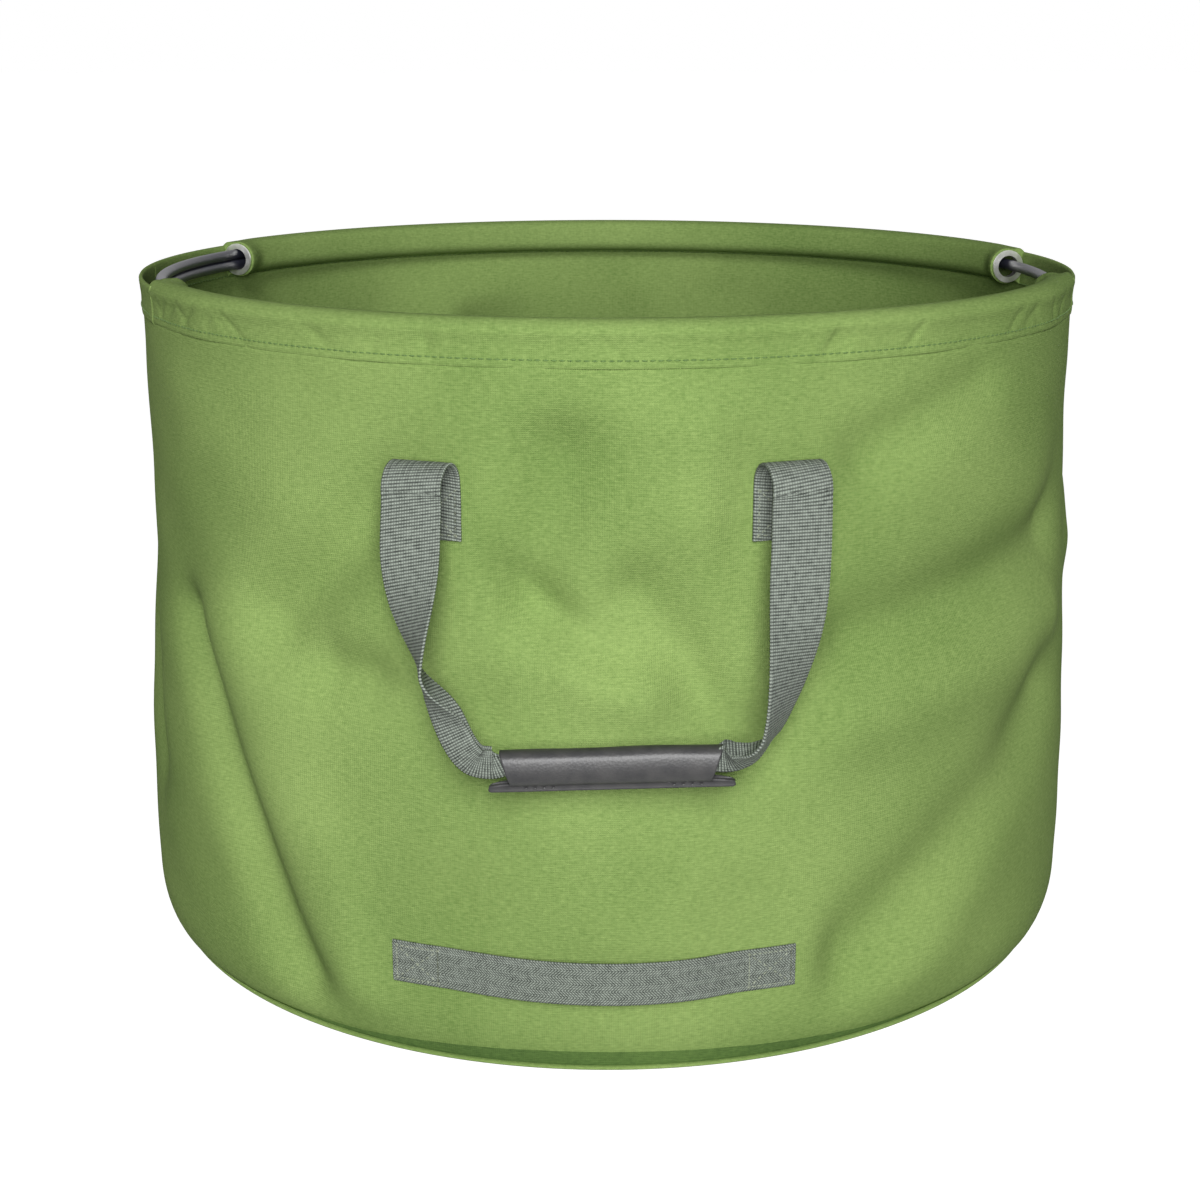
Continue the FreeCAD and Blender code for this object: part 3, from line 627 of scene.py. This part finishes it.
# ---------------------------------------------------------------- webbing
def webbing_grid(line, width, half=WEBBING_HALF, fold=0.0, start=0.0, lean=1):
    """A flat ribbon along a line.

    Columns of ribs stand up in turn on both faces, the selvedges are beaded, and fold bends its halves towards its
    back. A point is the line, plus the width times its place times the cosine of the fold, less the normal times its
    distance from the middle times the sine.
    """
    count = len(line)
    way = unit(np.gradient(line, axis=0))
    width = unit(width - way * np.sum(width * way, -1, keepdims=True))
    normal = np.cross(way, width)
    length = start + np.concatenate(([0], np.cumsum(np.linalg.norm(np.diff(line, axis=0), axis=1))))
    place = np.linspace(-1, 1, ACROSS)
    place = np.concatenate([place, place[::-1]])[None, :]
    face = np.repeat([1, -1], ACROSS)[None, :]
    column = np.concatenate([np.arange(ACROSS), np.arange(ACROSS)[::-1]])[None, :] // 2 % 2
    half = np.broadcast_to(half, (count,))[:, None]
    fold = np.broadcast_to(fold, (count,))[:, None]
    rib = np.sin(2 * math.pi * length[:, None] / RIB_PITCH + math.pi * column + 1.6 * lean * place)
    edge = np.abs(place)
    selvedge = edge > SELVEDGE_FROM
    thick = WEBBING_THICK * (0.35 + 0.65 * np.sqrt(1 - np.minimum(edge, 1) ** 10))
    thick = thick + RIB_HEIGHT * rib * (0.5 + 0.5 * selvedge)
    thick = np.where(selvedge, thick + SELVEDGE_BEAD, thick)
    side = np.sign(place)
    bend = fold * ease(edge / 0.25)
    reach = place * half * np.cos(fold)
    deep = edge * half * np.sin(fold)
    lean_normal = np.cos(bend)[..., None] * normal[:, None] + (np.sin(bend) * side)[..., None] * width[:, None]
    points = (line[:, None] + reach[..., None] * width[:, None] - deep[..., None] * normal[:, None]
              + (face * thick)[..., None] * lean_normal)
    uv = np.stack(np.broadcast_arrays(lean * place * half, length[:, None]), -1)
    return grid(points, uv, True, True)


def facing(end):
    """The rear handle is the front one turned half round the bag: its x and y change sign."""
    return np.array([1.0, 1.0, 1.0]) if end == "front" else np.array([-1.0, -1.0, 1.0])


def turn_round(part, end):
    points, faces, uv = part
    return points * facing(end), faces, uv


def other(side, end):
    """Name of the side that a front piece lands on at this end."""
    if end == "front":
        return side
    return "right" if side == "left" else "left"


def count_for(points):
    """Rows of a ribbon along a line, four to each rib."""
    line = np.asarray(points)
    return int(np.linalg.norm(np.diff(line, axis=0), axis=1).sum() / RIB_STEP)


LOOP_INNER = 0.9 * MM
PATCH_LOW, PATCH_HIGH = corners("front_left_patch")
TOP = {side: middle("front_" + side + "_patch") for side in ("left", "right")}
STRAP_RADIUS = 244.55 * MM
LOOP_RADIUS = 10 * MM
GRIP_LOW, GRIP_HIGH = corners("front_grip_cover")
GRIP_DEEP = (GRIP_LOW[1] + GRIP_HIGH[1]) / 2
TILT = math.tan(math.radians(1.6))
GRIP_CENTRE = 1.6 * MM

# how far from the middle, how far forward, how high: the strap's line from its loop to inside the grip, in millimetres
STRAP_LINES = {
    "left": (
        (76.1, 232.4, 255.0), (76.1, 232.9, 249.0), (76.4, 240.0, 228), (75.2, 246.5, 203), (71.0, 250.2, 178),
        (64.5, 251.0, 158), (56.5, 249.6, 146.0), (46, 248.3, 142.6), (36, 248, 144.6),
        (22, 248, 145.4), (2, 248, 145.6),
    ),
    "right": (
        (76.1, 232.4, 255.0), (76.0, 232.9, 249.0), (75.2, 240.0, 228), (73.4, 246.5, 203), (69.6, 250.2, 180),
        (64.8, 251.0, 162), (58.5, 249.6, 150.5), (49, 248.3, 145.6), (38, 248, 146.0),
        (24, 248, 146.2), (3, 248, 146.0),
    ),
}
# near the grip, by distance from the middle: where the strap is edge on, folded, and crushed to the grip's width
EDGE_ON, EDGE_ON_FADE = 58 * MM, 14 * MM
FOLDED, FOLDED_FADE = 62 * MM, 18 * MM
CRUSHED, CRUSHED_FADE = 47 * MM, 10 * MM
FOLD_RISE, FOLD_FALL, FULL_FOLD = 12 * MM, 30 * MM, math.radians(78)
# how far each strap has turned at the end of its twist, and the heights where that starts and ends
TWISTS = {"left": (math.radians(90), 0.236, 0.176), "right": (math.radians(66), 0.226, 0.150)}

for end in ("front", "rear"):
    for side, sign in (("left", -1), ("right", 1)):
        name = f"{end}_{other(side, end)}"
        lean = angle_of(TOP[side])
        out, across = outward(lean), rightward(lean)

        # sewn patch, then the loop over to the strap
        rise = np.linspace(PATCH_LOW[2], HINGE_HEIGHT, 4)[:-1]
        curl = np.linspace(0, math.pi, 9)
        wall_at = wall_radius(lean, np.array(rise)) + LOOP_INNER
        path = [(r, z) for r, z in zip(wall_at, rise)] + [
            (STRAP_RADIUS - LOOP_RADIUS - LOOP_RADIUS * math.cos(c), HINGE_HEIGHT + LOOP_RADIUS * math.sin(c))
            for c in curl
        ]
        flat = smooth_line(path, count_for(path))
        line = flat[:, :1] * out + flat[:, 1:] * UP
        loop = webbing_grid(line, np.broadcast_to(-across, line.shape), lean=-1)
        loop = turn_round(loop, end)
        made = piece(name + "_loop_webbing", [loop], webbing, [name + "_patch", name + "_loop"])
        height = HINGE_HEIGHT * UP
        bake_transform(made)

        # strap: turns edge on, then folds along its middle into the grip
        points = np.array(STRAP_LINES[side]) * MM * (sign, -1, 1)
        line = smooth_line(points, count_for(points))
        most, high, low = TWISTS[side]
        share = ease((high - line[:, 2]) / (high - low))
        share = np.maximum.accumulate(share)[:, None] * most
        share = share + (math.pi / 2 - most) * ease((EDGE_ON - np.abs(line[:, :1])) / EDGE_ON_FADE)
        width = np.cos(share) * across + np.sin(share) * np.array([0, sign, 0])
        half = WEBBING_HALF + (CRUSHED_HALF - WEBBING_HALF) * ease((CRUSHED - np.abs(line[:, 0])) / CRUSHED_FADE)
        twisted = ease((low + FOLD_RISE - line[:, 2]) / FOLD_FALL)
        near_grip = ease((FOLDED - np.abs(line[:, 0])) / FOLDED_FADE)
        fold = FULL_FOLD * np.maximum.accumulate(np.maximum(twisted, near_grip))
        strap = webbing_grid(line, width, half=half, fold=fold)
        made = piece(name + "_strap_webbing", [turn_round(strap, end)], webbing,
                     [name + "_strap"] + ([end + "_grip_core"] if side == "left" else []))
        ride_handle(made, end)

        # box of tack stitches with its diagonals, on the patch
        inset = WEBBING_HALF - 2.2 * MM
        bottom, top = PATCH_LOW[2] + 2.2 * MM, PATCH_HIGH[2] - 2.2 * MM
        legs = crossed_box(-inset, inset, bottom, top, lambda length: max(2, int(length / TACK_PITCH)))
        lift = wall_radius(lean, legs[:, 1]) + LOOP_INNER + WEBBING_THICK + 0.15 * MM
        centres = lift[:, None] * out + legs[:, :1] * across + legs[:, 1:2] * UP
        going = legs[:, 2:3] * across + legs[:, 3:4] * UP
        made = stitches(name + "_tack_stitches", centres * facing(end), going * facing(end),
                        np.broadcast_to(out * facing(end), centres.shape), 2.0 * MM, 0.7 * MM, tack_thread,
                        replaces=[name + "_tack"])
        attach(made, end + "_anchor")


# ---------------------------------------------------------------- leather grip
# forward half of the wrap: distance from its middle plane and height above its lowest edge, in millimetres
WRAP = ((1.5, 0.2), (1.6, 2.2), (3.4, 3.9), (5.0, 7.0), (5.2, 11.2), (3.9, 15.4), (0.0, 17.4))
for end in ("front", "rear"):
    half = np.array(WRAP)
    section = smooth_line(np.concatenate([half * (-1, 1), half[::-1][1:]]), 90) * MM
    deep, tall = section[:, 0], section[:, 1]
    left = np.interp(tall / MM, [0, 0.8, 2.4, 3.2, 16.8], [-45.6, -47, -46.6, -38, -42.4]) * MM
    right = np.interp(tall / MM, [0, 0.8, 2.4, 3.2, 16.8], [49.6, 51, 50.6, 41, 45.6]) * MM
    share = np.linspace(0, 1, 120)[:, None]
    x = left[None, :] + (right - left)[None, :] * share
    puff = 0.3 * MM * np.sin(x * 90) * np.sin(x * 37 + 1)
    y = GRIP_DEEP + deep[None, :] * (1 + 0.03 * np.sin(x * 160))
    z = GRIP_LOW[2] + tall[None, :] + puff * ease((tall - 4 * MM) / (6 * MM))[None, :] + (x - GRIP_CENTRE) * TILT
    points = np.stack([x, y, z], -1) * facing(end)
    length = np.linspace(0, 44 * MM, len(section))
    uv = np.stack(np.broadcast_arrays(x, length[None, :]), -1)
    made = piece(end + "_grip_leather", [grid(points, uv)], leather, [end + "_grip_cover"], 1.4 * MM)
    ride_handle(made, end)
    for side, middle_x in (("left", -27.5 * MM), ("right", 31 * MM)):
        step = 3.6 * MM
        upper = middle_x + step * (np.arange(4) - 1.75)
        lower = middle_x + step * (np.arange(4) - 1.25)
        x = np.concatenate([upper, lower])
        rise = np.repeat([3.1 * MM, 1.5 * MM], 4)
        proud = np.where(rise > 2 * MM, 2.15 * MM, 1.65 * MM)
        centres = np.stack([x, GRIP_DEEP - proud, GRIP_LOW[2] + rise + (x - GRIP_CENTRE) * TILT], -1)
        behind = np.stack([x, GRIP_DEEP + proud, centres[:, 2]], -1)
        centres = np.concatenate([centres, behind]) * facing(end)
        out = np.repeat([[0, -1.0, 0], [0, 1.0, 0]], 8, 0) * facing(end)
        name = f"{end}_{other(side, end)}"
        made = stitches(name + "_grip_stitches", centres, np.broadcast_to(np.array([1.0, 0, 0.4]), centres.shape),
                        out, 1.5 * MM, 0.8 * MM, grip_thread, replaces=[name + "_stitches"])
        ride_handle(made, end)


# ---------------------------------------------------------------- low handle
LOW_HALF = 9.5 * MM
(left_low, left_high), (right_low, right_high) = corners("lower_left_patch"), corners("lower_right_patch")
LOW_MIDDLE = (left_low[2] + left_high[2]) / 2 + 1 * MM
LOW_RADIUS = float(wall_radius(0.0, LOW_MIDDLE))
SPAN = (left_high[0], right_low[0])
STAND, SAG, LOW_BLEND = 7.0 * MM, -1.0 * MM, 24 * MM


def low_line(x):
    """Follows the wall under the patches; between them it stands off and sags by a rounded hump, highest half way."""
    angle = np.arcsin(x / LOW_RADIUS)
    q = np.clip((2 * x - SPAN[0] - SPAN[1]) / (SPAN[1] - SPAN[0]), -1, 1)
    hump = (1 - q**2) ** 1.5
    height = LOW_MIDDLE - SAG * hump
    radius = wall_radius(angle, np.full(x.shape, LOW_MIDDLE)) + LOOP_INNER
    return round_bag(angle, radius, height) + np.stack([0 * x, -STAND * hump, 0 * x], -1)


def low_webbing(name, first, last, replaces):
    """A stretch of the low handle between two places across the front."""
    x = np.linspace(first, last, int(abs(last - first) / RIB_STEP))
    line = low_line(x)
    part = webbing_grid(line, np.broadcast_to(UP, line.shape), half=LOW_HALF, start=first)
    return piece(name, [part], chevron_webbing, replaces)


centre = (SPAN[0] + SPAN[1]) / 2
for side, low, high, inner_edge, sign in (
    ("left", left_low[0], SPAN[0], SPAN[0], 1),
    ("right", SPAN[1], right_high[0], SPAN[1], -1),
):
    patch = low_webbing(f"lower_{side}_patch_webbing", low, high, [f"lower_{side}_patch"])
    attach(patch, "lower_anchor")
    ends = (inner_edge, centre) if side == "left" else (centre, inner_edge)
    strap = low_webbing(f"lower_{side}_strap_webbing", *ends, ["lower_strap"] if side == "left" else [])
    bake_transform(strap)
    inset = 2.0 * MM
    x0, x1, z0, z1 = low + inset, high - inset, LOW_MIDDLE - LOW_HALF + inset, LOW_MIDDLE + LOW_HALF - inset
    legs = crossed_box(x0, x1, z0, z1, lambda length: LOW_TACKS)
    angle = np.arcsin(legs[:, 0] / LOW_RADIUS)
    radius = wall_radius(angle, np.full(angle.shape, LOW_MIDDLE)) + LOOP_INNER + WEBBING_THICK + 0.15 * MM
    radial = np.stack([np.sin(angle), -np.cos(angle), 0 * angle], -1)
    going = np.stack([legs[:, 2] * np.cos(angle), legs[:, 2] * np.sin(angle), legs[:, 3]], -1)
    made = stitches(f"lower_{side}_tack_stitches", round_bag(angle, radius, legs[:, 1]), going, radial,
                    1.9 * MM, 0.7 * MM, tack_thread, replaces=[f"lower_{side}_tack"])
    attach(made, "lower_anchor")


# ---------------------------------------------------------------- CAD nodes that keep their shape
RINGS = [
    f"{kind}_{end}_{side}"
    for kind in ("eyelet", "washer") for end in ("front", "rear") for side in ("left", "right")
]
ROD = ["hoop_rod", "hoop_lower_tip", "hoop_upper_tip"]
for node, finish in [(node, rod_black) for node in ROD] + [(node, nickel) for node in RINGS]:
    for holder in frame["nodes"][node].material_slots:
        holder.material = finish


# ---------------------------------------------------------------- floor, light and camera
def seen(tree):
    """One for the camera, and for what mirrors or glass would show it."""
    path = tree.nodes.new("ShaderNodeLightPath")
    total = path.outputs["Is Camera Ray"]
    for output in ("Is Glossy Ray", "Is Transmission Ray"):
        adder = tree.nodes.new("ShaderNodeMath")
        adder.operation = "MAXIMUM"
        tree.links.new(total, adder.inputs[0])
        tree.links.new(path.outputs[output], adder.inputs[1])
        total = adder.outputs[0]
    return total


FLOOR_GLOW = 0.86
floor_finish = Finish("floor_white", Roughness=0.9, Base_Color=(0.36, 0.36, 0.36, 1), Emission_Color=(1, 1, 1, 1),
                      Specular_IOR_Level=0.0)
glow = floor_finish.math("MULTIPLY", seen(floor_finish.tree), FLOOR_GLOW)
floor_finish.tree.links.new(glow, floor_finish.shader.inputs["Emission Strength"])
floor_mesh = bpy.data.meshes.new("floor")
FLOOR, FLOOR_LEVEL = 30.0, -0.4 * MM
floor_corners = [(x * FLOOR, y * FLOOR, FLOOR_LEVEL) for x, y in ((-1, -1), (1, -1), (1, 1), (-1, 1))]
floor_mesh.from_pydata(floor_corners, [], [(0, 1, 2, 3)])
floor_mesh.materials.append(floor_finish.material)
floor = bpy.data.objects.new("floor", floor_mesh)
bpy.context.scene.collection.objects.link(floor)

SKY = 0.05
world = bpy.data.worlds.new("studio")
world.use_nodes = True
bpy.context.scene.world = world
background = world.node_tree.nodes["Background"]
background.inputs["Color"].default_value = (1, 1, 1, 1)
strength = world.node_tree.nodes.new("ShaderNodeMapRange")
strength.inputs["To Min"].default_value = SKY
strength.inputs["To Max"].default_value = 1.0
world.node_tree.links.new(seen(world.node_tree), strength.inputs["Value"])
world.node_tree.links.new(strength.outputs["Result"], background.inputs["Strength"])


def lamp(name, place, target, power, size):
    """A square area lamp at a place, turned to face its target."""
    light = bpy.data.lights.new(name, "AREA")
    light.energy, light.size = power, size
    made = bpy.data.objects.new(name, light)
    made.location = place
    way = np.array(target, float) - np.array(place, float)
    made.rotation_euler = (math.acos(-way[2] / np.linalg.norm(way)), 0, math.atan2(way[1], way[0]) - math.pi / 2)
    bpy.context.scene.collection.objects.link(made)


sun = bpy.data.lights.new("key", "SUN")
sun.energy, sun.angle = 2.1, math.radians(20)
key = bpy.data.objects.new("key", sun)
key.rotation_euler = (math.radians(56), 0, math.radians(3))
bpy.context.scene.collection.objects.link(key)
lamp("fill", (0, -1.30, 0.52), (0, 0, 0.17), 13, 0.35)

CAMERA_BACK, CAMERA_HEIGHT, PITCH = 0.9768, 0.4217, math.radians(15.8)
view = bpy.data.cameras.new("camera")
view.lens, view.sensor_width, view.shift_x = 59.0, 36.0, -0.0058
view.clip_end = 100
camera = bpy.data.objects.new("camera", view)
camera.location = (0, -CAMERA_BACK, CAMERA_HEIGHT)
camera.rotation_euler = (math.pi / 2 - PITCH, 0, 0)
bpy.context.scene.collection.objects.link(camera)
bpy.context.scene.camera = camera
bpy.context.scene.view_settings.view_transform = "Standard"
